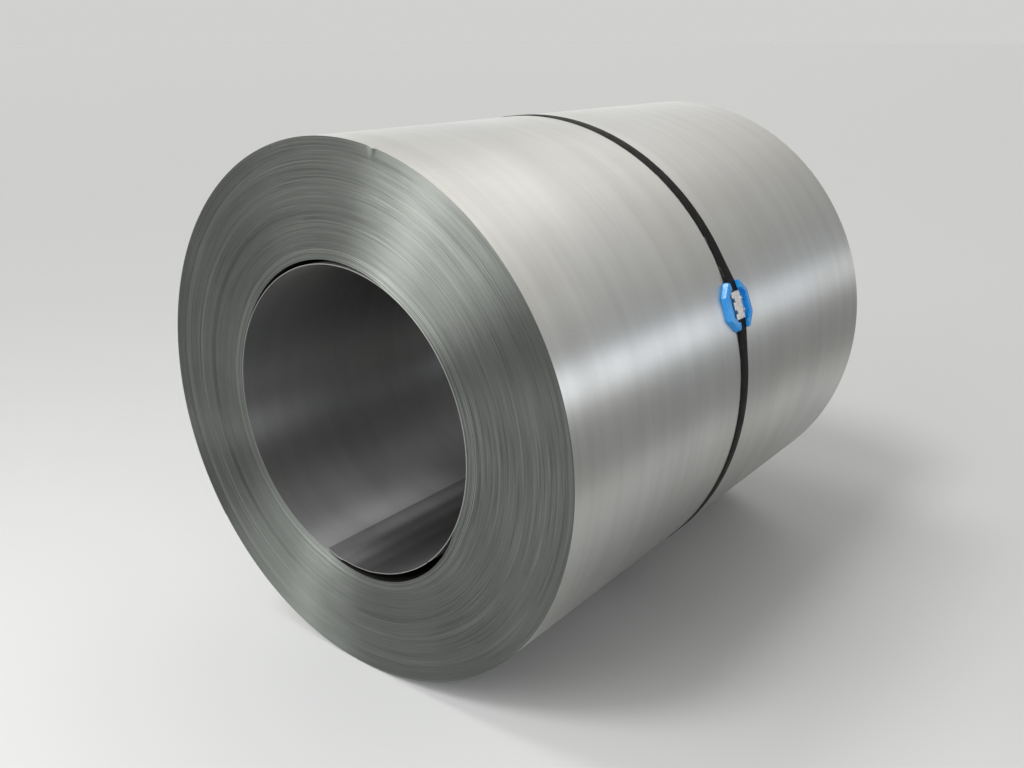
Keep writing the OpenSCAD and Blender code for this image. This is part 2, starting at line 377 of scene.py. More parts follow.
class Finish(Nodes):
    """One material, with the patterns that the finishes share."""

    def __init__(self, name):
        self.material = bpy.data.materials.new(name)
        self.material.use_nodes = True
        super().__init__(self.material.node_tree)
        self.shader = self.tree.nodes["Principled BSDF"]

    def shade(self, inputs):
        """Feeds the material's shader."""
        for key, value in inputs.items():
            self.feed(self.shader.inputs[key], value)

    def object_place(self):
        """Place in the part's frame."""
        return self.add("ShaderNodeTexCoord").outputs["Object"]

    def strip_place(self):
        """Angle along the strip, and metres across it."""
        strip = self.add("ShaderNodeUVMap", uv_map=STRIP_MAP).outputs["UV"]
        split = self.add("ShaderNodeSeparateXYZ", {"Vector": strip})
        return split.outputs["X"], split.outputs["Y"]

    def winding(self, round_scale, across_scale):
        """Place on the strip that closes round the coil: cosine and sine of the angle, and metres across."""
        along, across = self.strip_place()
        inputs = {
            "X": self.math("MULTIPLY", self.math("COSINE", along), round_scale),
            "Y": self.math("MULTIPLY", self.math("SINE", along), round_scale),
            "Z": self.math("MULTIPLY", across, across_scale),
        }
        return self.add("ShaderNodeCombineXYZ", inputs).outputs["Vector"]

    def stretch(self, vector, scale):
        """Scales a place along its axes."""
        return self.add("ShaderNodeMapping", {"Vector": vector, "Scale": scale}).outputs["Vector"]

    def noise(self, vector, scale=1.0, detail=3.0, roughness=0.55):
        """Cloudy value from 0 to 1."""
        inputs = {"Vector": vector, "Scale": scale, "Detail": detail, "Roughness": roughness}
        return self.add("ShaderNodeTexNoise", inputs).outputs["Fac"]

    def sum_of(self, *values):
        """Sum of several values."""
        total = values[0]
        for value in values[1:]:
            total = self.math("ADD", total, value)
        return total

    def bump(self, height, distance):
        """Normal from a height, with the depth of a height of 1."""
        return self.add("ShaderNodeBump", {"Height": height, "Distance": distance}).outputs["Normal"]

    def grain(self, amount):
        """Stretches the highlights across the strip, as its rolling and slitting lines do."""
        tangent = self.add("ShaderNodeTangent", direction_type="UV_MAP", uv_map=STRIP_MAP).outputs["Tangent"]
        quarter_turn = 0.25
        self.shade({"Tangent": tangent, "Anisotropic": amount, "Anisotropic Rotation": quarter_turn})


def rolled_finish(name, rgb, low_rough, high_rough, grain, dark_from=None):
    """Rolled strip: faint clouds and smears of oil, bands and fine lines along it, long scratches across it.
    The strip is darker next to an end at the angle dark_from, and clears over a fifth of a turn."""
    finish = Finish(name)
    spot = finish.object_place()
    clouds = finish.noise(finish.stretch(spot, (1.0, 2.0, 2.0)), 2.0, 4.0)
    lines = finish.noise(finish.winding(2.0, 420.0))
    bands = finish.noise(finish.winding(0.8, 30.0), 1.0, 2.0)
    smears = finish.noise(finish.winding(1.6, 7.0), 1.0, 1.5, 0.45)
    scratches = finish.noise(finish.winding(130.0, 2.6), 1.0, 2.0)
    marks = finish.fit(scratches, 0.66, 0.74, 0.0, 1.0)
    warm = (rgb[0], rgb[1] * 0.985, rgb[2] * 0.96, 1.0)
    tint = finish.mix(finish.fit(clouds, 0.38, 0.62, 0.0, 1.0), (*rgb, 1.0), warm)
    level = finish.sum_of(
        finish.fit(clouds, 0.3, 0.7, 1.02, 0.97),
        finish.fit(lines, 0.3, 0.7, -0.02, 0.02),
        finish.fit(bands, 0.35, 0.65, -0.03, 0.03),
        finish.fit(smears, 0.36, 0.64, 0.02, -0.03),
        finish.math("MULTIPLY", marks, 0.05),
    )
    if dark_from is not None:
        past = finish.math("SUBTRACT", finish.strip_place()[0], dark_from)
        level = finish.math("MULTIPLY", level, finish.fit(past, 0.3, 1.3, 0.55, 1.0))
    rough = finish.sum_of(
        finish.fit(clouds, 0.3, 0.7, low_rough, high_rough),
        finish.fit(smears, 0.36, 0.64, 0.0, 0.03),
        finish.math("MULTIPLY", marks, 0.02),
    )
    finish.shade({"Base Color": finish.tone(tint, level), "Metallic": 1.0, "Roughness": rough})
    finish.grain(grain)
    return finish.material


def edge_finish(coil):
    """Slit edges of the turns: each turn has its own tone, arcs along it are rubbed bright or dull, and some
    turns next to the eye are rubbed bright all round."""
    finish = Finish("slit_edges")
    across = finish.strip_place()[1]
    turn = finish.math("FLOOR", finish.math("DIVIDE", across, coil.strip_thickness))
    own = finish.add("ShaderNodeTexWhiteNoise", {"W": turn}, noise_dimensions="1D").outputs["Value"]
    arcs = finish.noise(finish.winding(2.4, 400.0), 1.0, 1.0)
    bands = finish.noise(finish.winding(0.6, 45.0))
    clouds = finish.noise(finish.object_place(), 5.0, 4.0)
    bright = finish.fit(arcs, 0.58, 0.65, 0.0, 1.0)
    dull = finish.fit(arcs, 0.42, 0.35, 0.0, 1.0)
    lines = finish.math("SUBTRACT", bright, dull)
    rub_from, rub_to = coil.eye_radius + 2 * MM, coil.eye_radius + 48 * MM
    near_eye = finish.fit(across, rub_from, rub_to, 1.0, 0.0)
    rubbed = finish.math("MULTIPLY", near_eye, finish.fit(own, 0.45, 1.0, -0.12, 0.9))
    level = finish.sum_of(
        finish.fit(own, 0.0, 1.0, -0.04, 0.04),
        finish.math("MULTIPLY", lines, 0.1),
        rubbed,
        finish.fit(bands, 0.3, 0.7, 0.97, 1.03),
        finish.fit(clouds, 0.3, 0.7, -0.06, 0.06),
    )
    rough = finish.sum_of(finish.math("MULTIPLY", lines, -0.08), finish.fit(own, 0.0, 1.0, 0.41, 0.45))
    toned = finish.tone(tuple(coil.edge_colour), level)
    finish.shade({"Base Color": toned, "Metallic": 1.0, "Roughness": rough})
    finish.grain(0.97)
    return finish.material


def turn_gap(turn, start, end, depth, radius):
    """Depth of a crescent outside a circle: a second circle off its centre, deepest in the middle of the
    arc from start to end and running out at both, less the first circle's radius."""
    half = (end - start) / 2
    from_middle = turn - start - half
    shift = (depth**2 + 2 * radius * depth) / (2 * (radius * (1 - math.cos(half)) + depth))
    second = radius + depth - shift
    reach = shift * np.cos(from_middle) + np.sqrt(second**2 - (shift * np.sin(from_middle)) ** 2)
    return np.maximum(reach - radius, 0)


def outer_fall(turn, coil, radius):
    """Depth by which the outside lies low past the outer end: one thickness at the end, running out over
    the ramp's arc along a circle off the coil's centre."""
    past = np.mod(turn - coil.outer_end, FULL_TURN)
    depth = coil.strip_thickness
    shift = (2 * radius * depth - depth**2) / (2 * (radius * (1 - math.cos(coil.outer_ramp)) - depth))
    circle = radius - depth + shift
    reach = np.sqrt(circle**2 - (shift * np.sin(past)) ** 2) - shift * np.cos(past)
    return np.where(past < coil.outer_ramp, np.maximum(radius - reach, 0), 0)


def ripples(turn, along, draw, waves=9):
    """Shallow waves over a sheet, from 0 to 1: the mean of several sines that run round and along it."""
    round_count = draw.integers(2, 9, waves)[:, None, None]
    along_count = draw.uniform(-9, 9, waves)[:, None, None]
    phase = draw.uniform(0, FULL_TURN, waves)[:, None, None]
    weight = 1 / np.hypot(round_count, along_count)
    total = np.sum(weight * np.sin(round_count * turn + along_count * along + phase), axis=0)
    return 0.5 + 0.5 * total / np.sum(weight)


def turn_slides(coil, turn, draw):
    """How far each turn lies towards the front end at each angle: its pack's slide, shared out over the
    turns next to the pack's edge, then a stray of its own and a slow wander round the coil, all within the
    furthest slide. The pack that has slid furthest keeps a sharper edge than the others."""
    count = coil.turns
    pack = np.searchsorted(np.round(count * PACK_ENDS), np.arange(count), side="right")
    proud = PACK_SLIDES == 1
    soft_turns, sharp_turns = 17, 7
    others = np.pad(np.where(proud, 0, PACK_SLIDES)[pack], soft_turns // 2, mode="edge")
    eased = np.convolve(others, np.full(soft_turns, 1 / soft_turns), mode="valid")
    packed = eased + np.convolve(proud[pack], np.full(sharp_turns, 1 / sharp_turns), mode="same")
    stray = coil.stray * draw.normal(0, 1, count)
    wander = coil.stray * draw.uniform(0.3, 1.0, count)
    waves = draw.integers(1, 4, count)
    phase = draw.uniform(0, FULL_TURN, count)
    slow = wander[:, None] * np.sin(waves[:, None] * turn + phase[:, None])
    room = coil.slide - 2 * coil.stray - coil.lean
    return np.clip((coil.slide * packed + stray)[:, None] + slow, -room, room)


def turn_leans(coil, draw):
    """How far each turn's edge falls off at both ends: all by about the same, and a few by more or less."""
    usual, furthest = 0.012 * MM, 0.08 * MM
    return coil.lean + np.clip(usual * draw.standard_t(2, (2, coil.turns)), -furthest, furthest)


def end_rows(coil, first, last, faces, leans, inward):
    """Radii and places along the eye of one end of some turns, from the inside out. Each turn has a land
    that leans a little, then a groove that lies inward of it and of the next turn."""
    half = coil.groove_width / 2
    low = coil.eye_radius + coil.strip_thickness * np.arange(first, last)
    radii = np.stack([low + half, low + coil.strip_thickness - half, low + coil.strip_thickness], axis=1)
    lean = leans[first:last, None]
    face = faces[first:last]
    after = np.concatenate([face[1:], face[-1:]])
    deeper = np.maximum(face * inward, after * inward) * inward
    fall = lean * inward
    places = np.stack([face - fall, face + fall, deeper + coil.groove * inward], axis=1)
    return radii.reshape(-1)[:-1], places.reshape(-1, faces.shape[1])[:-1]


def wound_ring(coil, name, first, last, outside_rows, bore_rows, finishes):
    """A ring of turns as one closed surface: the section goes out along the front end's turns, back along
    the outside, in along the back end's turns and forward along the bore, and it is carried round the eye.
    Turns near a gap bend out round it, and those near the outer end fall by its thickness."""
    seam = math.radians(0.01)
    dent = np.mod(coil.dent_angle - coil.outer_end, FULL_TURN)
    round_steps, dent_steps = 188, 13
    near_dent = dent + math.radians(3.5) * np.linspace(-1, 1, dent_steps)
    past = np.concatenate([np.linspace(0, FULL_TURN - seam, round_steps), near_dent])
    turn = coil.outer_end + np.sort(past)
    columns = len(turn)
    draw = np.random.default_rng(SEED)
    slides = turn_slides(coil, turn, draw)
    leans = turn_leans(coil, draw)
    front = -coil.strip_width / 2 - slides
    back = coil.strip_width / 2 - slides
    front_r, front_x = end_rows(coil, first, last, front, leans[0], 1)
    back_r, back_x = end_rows(coil, first, last, back, leans[1], -1)
    inner_r = coil.eye_radius + coil.strip_thickness * first
    outer_r = coil.eye_radius + coil.strip_thickness * last
    coil_r = coil.eye_radius + coil.strip_thickness * coil.turns
    bevel = coil.groove_width / 2
    ends = np.stack([front + bevel, back - bevel])
    near_rows = min(outside_rows - 2, 5)
    near_front = np.linspace(0, 0.02, near_rows, endpoint=False)
    steps = np.concatenate([near_front, np.linspace(0.02, 1, outside_rows - near_rows)])
    outside_x = ends[0, last - 1] + steps[:, None] * (ends[1] - ends[0])[last - 1]
    bore_x = ends[1, first] - np.linspace(0, 1, bore_rows)[:, None] * (ends[1] - ends[0])[first]
    outside_r = np.full(outside_rows, outer_r)
    bore_r = np.full(bore_rows, inner_r)
    radii = np.concatenate([front_r, outside_r, back_r[::-1], bore_r])
    along = np.concatenate([front_x, outside_x, back_x[::-1], bore_x])

    loose_r = coil.eye_radius + coil.strip_thickness
    gaps = turn_gap(turn, coil.low_gap_from, coil.low_gap_to, coil.low_gap, loose_r)
    gaps = gaps + turn_gap(turn, coil.top_gap_from, coil.top_gap_to, coil.top_gap, loose_r)
    near_gap = np.clip(1 - (radii - loose_r) / coil.gap_reach, 0, 1) ** 2
    near_outside = np.clip(1 - (coil_r - radii) / (2 * coil.strip_thickness), 0, 1)
    reach = radii[:, None] + near_gap[:, None] * gaps
    reach = reach - near_outside[:, None] * outer_fall(turn, coil, coil_r)
    if last == coil.turns:
        shown = slice(len(front_r), len(front_r) + outside_rows)
        reach[shown] -= coil.ripple * ripples(turn, outside_x, draw)
        off_dent = coil_r * (turn - coil.outer_end - dent) / coil.dent_width
        from_edge = (coil_r - radii[:, None]) + (along + coil.strip_width / 2)
        near_edge = np.exp(-from_edge / (2 * coil.dent_width))
        reach -= coil.dent_depth * np.exp(-(off_dent**2)) * np.minimum(near_edge, 1)

    rows = len(radii)
    zone_rows = [len(front_r), outside_rows - 1, len(back_r) + 1, bore_rows - 1, 1]
    zones = np.repeat([ENDS, OUTSIDE, ENDS, BORE, ENDS], zone_rows)
    quads, row, column = grid_quads(rows, columns, True, True)
    middle = along.mean(axis=1)
    closed_r = paired(np.append(radii, radii[0]))
    closed_x = paired(np.append(middle, middle[0]))
    across = np.where(zones[:, None] == ENDS, closed_r, closed_x)
    around = paired(np.append(turn, turn[0] + FULL_TURN))
    density = np.where(zones == ENDS, 3.0, 1.0)
    widths = density * np.hypot(np.ptp(closed_r, axis=1), np.ptp(closed_x, axis=1))
    run = np.concatenate([[0], np.cumsum(widths)])
    margin = 0.002
    sheet = paired(margin + (1 - 2 * margin) * run / run[-1])
    around_sheet = paired(np.linspace(margin, 1 - margin, columns + 1))
    maps = {
        STRIP_MAP: grid_map(around, across, row, column),
        BAKE_MAP: grid_map(around_sheet, sheet, row, column),
    }
    return make_piece(name, round_eye(reach, turn, along), quads, finishes, maps, zones[row])


def loose_turn(coil, finishes):
    """The innermost turn as a strip of its own thickness: it starts at the free inner end, which springs a
    little into the eye, goes once round, and runs out into the next turn over the ramp's arc."""
    half_rows = 16
    tail = math.radians(70)
    overlap = math.radians(8)
    tail_steps, round_steps = 90, 110
    near_end = np.linspace(0, tail, tail_steps, endpoint=False)
    past = np.concatenate([near_end, np.linspace(tail, FULL_TURN + overlap, round_steps)])
    turn = coil.inner_end + past
    columns = len(turn)
    draw = np.random.default_rng(SEED + 1)
    slides = turn_slides(coil, turn, draw)[0]
    fraction = np.linspace(0, 1, half_rows)[:, None]
    front = -coil.strip_width / 2 - slides
    inner_x = front + fraction * coil.strip_width
    meet = coil.inner_end + FULL_TURN
    depth = coil.strip_thickness - coil.inner_bed
    ramp = turn_gap(turn, meet - coil.inner_ramp, meet + coil.inner_ramp, depth, coil.eye_radius)
    spring_arc, crease_arc = math.radians(24), math.radians(30)
    short_wave, long_wave = math.radians(1.35), math.radians(2.3)
    spring = coil.inner_lift * np.clip(1 - past / spring_arc, 0, 1) ** 2
    sag = coil.ripple * ripples(turn, inner_x, draw) * np.clip(meet - coil.inner_ramp - turn, 0, 1)
    creases = np.sin(past / short_wave) + np.sin(past / long_wave + 1)
    bent = coil.crease * (0.5 + 0.25 * creases) * np.exp(-((past / crease_arc) ** 2))
    inner_r = coil.eye_radius + ramp - spring - sag - bent
    points = np.concatenate([
        round_eye(inner_r, turn, inner_x),
        round_eye(inner_r + coil.strip_thickness, turn, inner_x)[::-1],
    ])
    rows = len(points)
    quads, row, column = grid_quads(rows, columns, True, False)
    caps = swept_caps(rows, columns)
    zones = np.repeat([BORE, ENDS, BORE, ENDS], [half_rows - 1, 1, half_rows - 1, 1])
    middle = inner_x.mean(axis=1)
    around = paired(turn)
    across = paired(np.concatenate([middle, middle[::-1], middle[:1]]))
    corner_u = np.tile(turn, rows)
    corner_v = np.repeat(np.concatenate([middle, middle[::-1]]), columns)
    cap_map = np.stack([corner_u[caps], corner_v[caps]], axis=-1)
    maps = {STRIP_MAP: np.concatenate([grid_map(around, across, row, column), cap_map])}
    places = np.concatenate([zones[row], np.full(len(caps), ENDS)])
    return make_piece("coil_loose_turn", points, np.concatenate([quads, caps]), finishes, maps, places)


class STEELCOIL_OT_wind_coil(bpy.types.Operator):
    """Winds the strip: two rings of turns and the loose inner turn."""

    bl_idname = "steelcoil.wind_coil"
    bl_label = "Wind coil"

    def execute(self, context):
        coil = context.scene.coil_settings
        outside = rolled_finish("rolled_strip", tuple(coil.face_colour), 0.285, 0.305, 0.72)
        # Painted shade: the rings' inner face under the loose turn, seen through the gaps, gets a dark colour
        # in place of the shade there.
        gap_shade = rolled_finish("gap_shade_strip", tuple(coil.gap_shade_colour), 0.3, 0.36, 0.5)
        # Darker colour of the inner turns: partly oil stain, partly painted shade inside the eye.
        inside = rolled_finish("bore_strip_stain_and_shade", tuple(coil.bore_stain_and_shade_colour), 0.41, 0.45, 0.9, coil.inner_end)
        rubbed = rolled_finish("rubbed_edge", tuple(coil.rubbed_colour), 0.4, 0.45, 0.5)
        edges = edge_finish(coil)
        parting = coil.turns // 2
        pieces = [
            wound_ring(coil, "coil_inner_turns", 1, parting, 2, 12, [outside, edges, gap_shade]),
            wound_ring(coil, "coil_outer_turns", parting, coil.turns, 26, 2, [outside, edges, gap_shade]),
            loose_turn(coil, [outside, rubbed, inside]),
        ]
        for piece in pieces:
            hand_in(piece, "coil")
        return {"FINISHED"}


def strap_reach(turn, strap, radii):
    """Radius inside the strap at an angle from the seal: the coil's round, or over the pad a tent of two
    straight runs under a round top, whichever is further out."""
    coil_r, pad_r = radii["coil"] + strap.seat, radii["strap"]
    run_r = coil_r - strap.run_in
    edge = radii["pad_half"] / radii["floor"]
    normal = edge + math.acos(run_r / pad_r)
    inside = np.minimum(np.abs(turn), normal)
    tent = np.minimum(run_r / np.cos(normal - inside), pad_r)
    return np.where(np.abs(turn) < normal, np.maximum(tent, coil_r), coil_r)


def in_notch(place, strap):
    """1 where a place along the strap lies in one of the two crimps, else 0."""
    from_crimp = np.abs(np.abs(place) - strap.crimp_gap / 2)
    return (from_crimp < strap.notch_width / 2).astype(float)


def strap_finish(strap):
    """Black waxed paint with dull clouds, rubbed through to bare steel in places along its edges."""
    finish = Finish("black_strap")
    across = finish.strip_place()[1]
    clouds = finish.noise(finish.winding(30.0, 60.0), 1.0, 4.0)
    rubs = finish.noise(finish.winding(12.0, 260.0))
    half = strap.width / 2
    near_edge = finish.fit(finish.math("ABSOLUTE", across), half - strap.thickness, half, 0.0, 0.2)
    worn = finish.fit(finish.math("ADD", rubs, near_edge), 0.74, 0.84, 0.0, 0.6)
    finish.shade({
        "Base Color": finish.mix(worn, (*strap.paint_colour, 1.0), (*strap.bare_colour, 1.0)),
        "Metallic": worn,
        "Roughness": finish.fit(clouds, 0.3, 0.7, 0.48, 0.62),
        "Specular IOR Level": 0.1,
        "Normal": finish.bump(clouds, 0.015 * MM),
    })
    return finish.material


class STEELCOIL_OT_tension_strap(bpy.types.Operator):
    """Lays the strap round the coil and over the pad, with one end lapped over the other at the seal."""

    bl_idname = "steelcoil.tension_strap"
    bl_label = "Tension strap"

    def execute(self, context):
        scene = context.scene
        strap = scene.strap_settings
        radii = seal_sizes(scene.coil_settings, strap, scene.pad_settings)
        radii["pad_half"] = scene.pad_settings.length / 2
        half_lap = (strap.seal_length / 2 + strap.lap_out) / radii["strap"]
        notch_edges = strap.crimp_gap / 2 + strap.notch_width / 2 * np.array([-1, 1])
        steps = np.concatenate([-notch_edges, notch_edges]) / radii["strap"]
        hair = math.radians(0.002)
        steps = np.concatenate([steps - hair, steps + hair])
        seal_arc = math.radians(16)
        near = np.linspace(-half_lap, seal_arc, 90)
        far = np.linspace(seal_arc, FULL_TURN - seal_arc, 200)
        last = np.linspace(FULL_TURN - seal_arc, FULL_TURN + half_lap, 110)
        turn = np.unique(np.concatenate([near, far, last, steps, steps + FULL_TURN]))
        from_seal = np.mod(turn + math.pi, FULL_TURN) - math.pi
        rise = math.radians(0.9)
        climb = np.clip((turn - FULL_TURN + half_lap + rise) / rise, 0, 1)
        lap = (strap.thickness + 0.02 * MM) * climb**2 * (3 - 2 * climb)
        inside = strap_reach(from_seal, strap, radii) + lap
        half_width = strap.width / 2 - strap.notch_depth * in_notch(from_seal * radii["strap"], strap)

        round_edge = np.linspace(-math.pi / 2, math.pi / 2, 6)
        edge_r = strap.thickness / 2
        side = np.concatenate([np.ones(6), -np.ones(6)])[:, None]
        out = np.concatenate([np.cos(round_edge), np.cos(round_edge)])[:, None] * edge_r
        lift = edge_r + np.concatenate([np.sin(round_edge), np.sin(round_edge[::-1])])[:, None] * edge_r
        across = side * (half_width - edge_r + out)
        middle = (STRAP_LOW.x + STRAP_HIGH.x) / 2
        points = round_eye(inside + lift, turn + strap.seal_angle, middle + across)
        points = np.roll(points, -3, axis=0)
        across = np.roll(across, -3, axis=0)
        rows, columns = across.shape
        quads, row, column = grid_quads(rows, columns, True, False)
        caps = swept_caps(rows, columns)
        spread = across.mean(axis=1)
        cap_map = np.stack([np.tile(turn, rows)[caps], np.repeat(spread, columns)[caps]], axis=-1)
        strip = grid_map(paired(turn), paired(np.append(spread, spread[0])), row, column)
        maps = {STRIP_MAP: np.concatenate([strip, cap_map])}
        quads = np.concatenate([quads, caps])
        piece = make_piece("lapped_strap", points, quads, [strap_finish(strap)], maps)
        hand_in(piece, "strap")
        return {"FINISHED"}


def seal_finish(strap):
    """Galvanised sheet: zinc spangles of slightly different tone, dulled in cloudy patches."""
    finish = Finish("zinc_seal")
    place = finish.object_place()
    spangle = finish.add("ShaderNodeTexVoronoi", {"Vector": place, "Scale": 420.0}).outputs["Color"]
    tone = finish.add("ShaderNodeSeparateColor", {"Color": spangle}).outputs[0]
    clouds = finish.noise(place, 160.0, 3.0)
    level = finish.sum_of(finish.fit(tone, 0.0, 1.0, 0.8, 1.08), finish.fit(clouds, 0.3, 0.7, -0.12, 0.06))
    rough = finish.sum_of(finish.fit(tone, 0.0, 1.0, 0.3, 0.4), finish.fit(clouds, 0.3, 0.7, 0.0, 0.1))
    finish.shade({
        "Base Color": finish.tone(tuple(strap.zinc_colour), level),
        "Metallic": 1.0,
        "Roughness": rough,
        "Normal": finish.bump(clouds, 0.05 * MM),
    })
    return finish.material


def crimp_tabs(strap, radii, middle):
    """Four tabs cut at the notches and turned up, as the middles of their sheet: each slopes outwards and
    up from the roof, over its own part of the crimp."""
    root = strap.width / 2 - strap.notch_depth - strap.seal_thickness / 2
    reach = (strap.notch_depth + strap.seal_fit + strap.seal_thickness) * np.array([-0.2, 1.0])
    half = strap.notch_width / 2 - strap.tab_gap
    hand, crimp, out, end = np.meshgrid([-1, 1], [-1, 1], [0, 1], [-1, 1], indexing="ij")
    away = hand * (root + reach[out] * math.cos(strap.tab_tilt))
    lift = radii["top"] - strap.seal_thickness / 2 + reach[out] * math.sin(strap.tab_tilt)
    turn = strap.seal_angle + (crimp * strap.crimp_gap / 2 + end * half) / radii["strap"]
    points = round_eye(lift, turn, middle + away).reshape(-1, 3)
    first = 4 * np.arange(4)[:, None]
    return points, first + np.array([0, 1, 3, 2])


class STEELCOIL_OT_crimp_seal(bpy.types.Operator):
    """Folds the seal round the lapped strap and crimps it twice on each side."""

    bl_idname = "steelcoil.crimp_seal"
    bl_label = "Crimp seal"

    def execute(self, context):
        scene = context.scene
        strap = scene.strap_settings
        radii = seal_sizes(scene.coil_settings, strap, scene.pad_settings)
        middle = (STRAP_LOW.x + STRAP_HIGH.x) / 2
        sheet = strap.seal_thickness
        half = strap.width / 2 + strap.seal_fit + sheet / 2
        height = radii["top"] - radii["floor"] - strap.seat - sheet
        bend = 0.9 * MM
        arc = np.linspace(0, math.pi / 2, 5)
        flange_y = np.linspace(half + sheet / 2 - strap.flange, half - bend, 5)
        low_y, low_z = half - bend + bend * np.sin(arc), bend - bend * np.cos(arc)
        top_y, top_z = half - bend + bend * np.cos(arc), height - bend + bend * np.sin(arc)
        roof_y = np.linspace(half - bend, 0, 6)[1:]
        side_y = np.concatenate([flange_y[:-1], low_y, top_y, roof_y])
        side_z = np.concatenate([np.zeros(4), low_z, top_z, np.full(5, height)])
        hand = np.concatenate([np.ones(len(side_y)), -np.ones(len(side_y) - 1)])
        section_y = np.concatenate([side_y, side_y[-2::-1]])
        section_z = np.concatenate([side_z, side_z[-2::-1]])
        hair = 0.25 * MM
        edges = strap.crimp_gap / 2 + strap.notch_width / 2 * np.array([-1, 1])
        edges = np.concatenate([-edges, edges])
        place = np.unique(np.concatenate([
            np.linspace(-strap.seal_length / 2, strap.seal_length / 2, 30), edges - hair, edges + hair]))
        pinch = (strap.notch_depth + strap.seal_fit + sheet / 2) * in_notch(place, strap)
        across = hand[:, None] * np.minimum(section_y[:, None], half - pinch)
        base = radii["floor"] + strap.seat + sheet / 2
        turn = strap.seal_angle + place / radii["strap"]
        points = round_eye(base + section_z[:, None], turn, middle + across)
        quads = grid_quads(*across.shape, False, False)[0]
        tab_points, tab_quads = crimp_tabs(strap, radii, middle)
        tab_quads = tab_quads + across.size
        points = np.concatenate([points.reshape(-1, 3), tab_points])
        quads = np.concatenate([quads, tab_quads])
        piece = make_piece("crimped_seal", points, quads, [seal_finish(strap)], sharp_degrees=40)
        solidify = piece.modifiers.new("sheet", "SOLIDIFY")
        solidify.thickness = sheet
        solidify.offset = 0
        hand_in(piece, "seal")
        return {"FINISHED"}


def pad_ring(half_length, half_width, diagonal, channel):
    """Sixteen points round an octagon with those half sizes along the strap and across it: six on each end
    that the strap crosses, at the corners and a hair to both sides of the channel's walls, and two on each
    long side. The diagonal is the sum of both half sizes, less what the corner takes off one side."""
    hair = 0.02 * MM
    corner = diagonal - half_length
    ends = np.array([-corner, -channel - hair, -channel + hair, channel - hair, channel + hair, corner])
    side = diagonal - half_width
    along = np.concatenate([np.full(6, half_length), [side, -side]])
    across = np.concatenate([ends, [half_width, half_width]])
    return np.stack([np.concatenate([along, -along]), np.concatenate([across, -across])], axis=1)


def pad_finish(pad):
    """Blue moulded plastic with a fine texture, scuffed pale in thin rubs."""
    finish = Finish("blue_plastic")
    place = finish.object_place()
    clouds = finish.noise(place, 55.0, 3.0)
    rubs = finish.noise(finish.stretch(place, (600.0, 90.0, 140.0)), 1.0, 3.0)
    scuffs = finish.fit(rubs, 0.66, 0.76, 0.0, 0.35)
    rgb = tuple(pad.plastic_colour)
    paler = (rgb[0] * 1.3, rgb[1] * 1.12, rgb[2] * 1.05, 1.0)
    scuffed = (0.3, 0.52, 0.8, 1.0)
    body = finish.mix(finish.fit(clouds, 0.3, 0.7, 0.0, 1.0), (*rgb, 1.0), paler)
    rough = finish.sum_of(finish.fit(clouds, 0.3, 0.7, 0.2, 0.3), finish.math("MULTIPLY", scuffs, 0.5))
    finish.shade({
        "Base Color": finish.mix(scuffs, body, scuffed),
        "Roughness": rough,
        "Normal": finish.bump(finish.noise(place, 1800.0, 2.0), 0.03 * MM),
    })
    return finish.material


class STEELCOIL_OT_mould_pad(bpy.types.Operator):
    """Moulds the pad: an octagonal rim with leaning walls, a pocket for the seal, channels for the strap."""

    bl_idname = "steelcoil.mould_pad"
    bl_label = "Mould pad"

    def execute(self, context):
        scene = context.scene
        strap, pad = scene.strap_settings, scene.pad_settings
        radii = seal_sizes(scene.coil_settings, strap, pad)
        under_r = radii["coil"] + strap.seat
        channel = strap.width / 2 + pad.channel_room
        lean = math.tan(pad.wall_lean)

        def outline(inset):
            diagonal = (pad.length + pad.width) / 2 - pad.corner - math.sqrt(2) * inset
            return pad_ring(pad.length / 2 - inset, pad.width / 2 - inset, diagonal, channel)

        pocket_l = strap.seal_length / 2 + pad.pocket_room
        pocket_w = pad.pocket_width / 2
        pocket = pad_ring(pocket_l, pocket_w, pocket_l + pocket_w - pad.pocket_corner, channel)
        shoulder = outline(pad.wall_height * lean)
        lip = outline(pad.wall_height * lean + pad.rim_slope)
        foot = outline(-0.5 * pad.base * lean)
        cut = np.abs(pocket[:, 1]) < channel
        share_out = np.array([0.4, 0.7])[:, None, None]
        run = pocket + share_out * (shoulder - pocket)
        lip = np.where(cut[:, None], run[1], lip)
        rise = np.where(cut[:, None], run[0], pocket)
        flat = np.stack([0.4 * pocket, pocket, rise, lip, shoulder, foot, pocket, 0.4 * pocket])
        floor = np.sqrt(radii["floor"] ** 2 - flat[..., 0] ** 2)
        under = np.sqrt(under_r**2 - flat[..., 0] ** 2)
        tops = radii["coil"] + np.array([pad.rim_height, pad.rim_height, pad.wall_height])[:, None]
        rim = np.where(cut, floor[2:5], tops)
        lift = np.concatenate([floor[:2], rim, under[5:]])
        sine, cosine = math.sin(strap.seal_angle), math.cos(strap.seal_angle)
        middle = (STRAP_LOW.x + STRAP_HIGH.x) / 2
        across = flat[..., 0] * sine - lift * cosine
        height = AXIS_H + flat[..., 0] * cosine + lift * sine
        points = np.stack([middle - flat[..., 1], across, height], axis=-1)
        rows, columns = lift.shape
        quads = grid_quads(rows, columns, False, True)[0]
        ring = np.arange(columns)
        caps = np.concatenate([across_ring(ring)[:, ::-1], across_ring(ring + (rows - 1) * columns)])
        quads = np.concatenate([quads, caps])
        piece = make_piece("moulded_pad", points, quads, [pad_finish(pad)], sharp_degrees=30)
        bevel = piece.modifiers.new("moulded_edges", "BEVEL")
        bevel.width = pad.rounding
        bevel.segments = 3
        bevel.angle_limit = math.radians(20)
        hand_in(piece, "seal_pad")
        return {"FINISHED"}


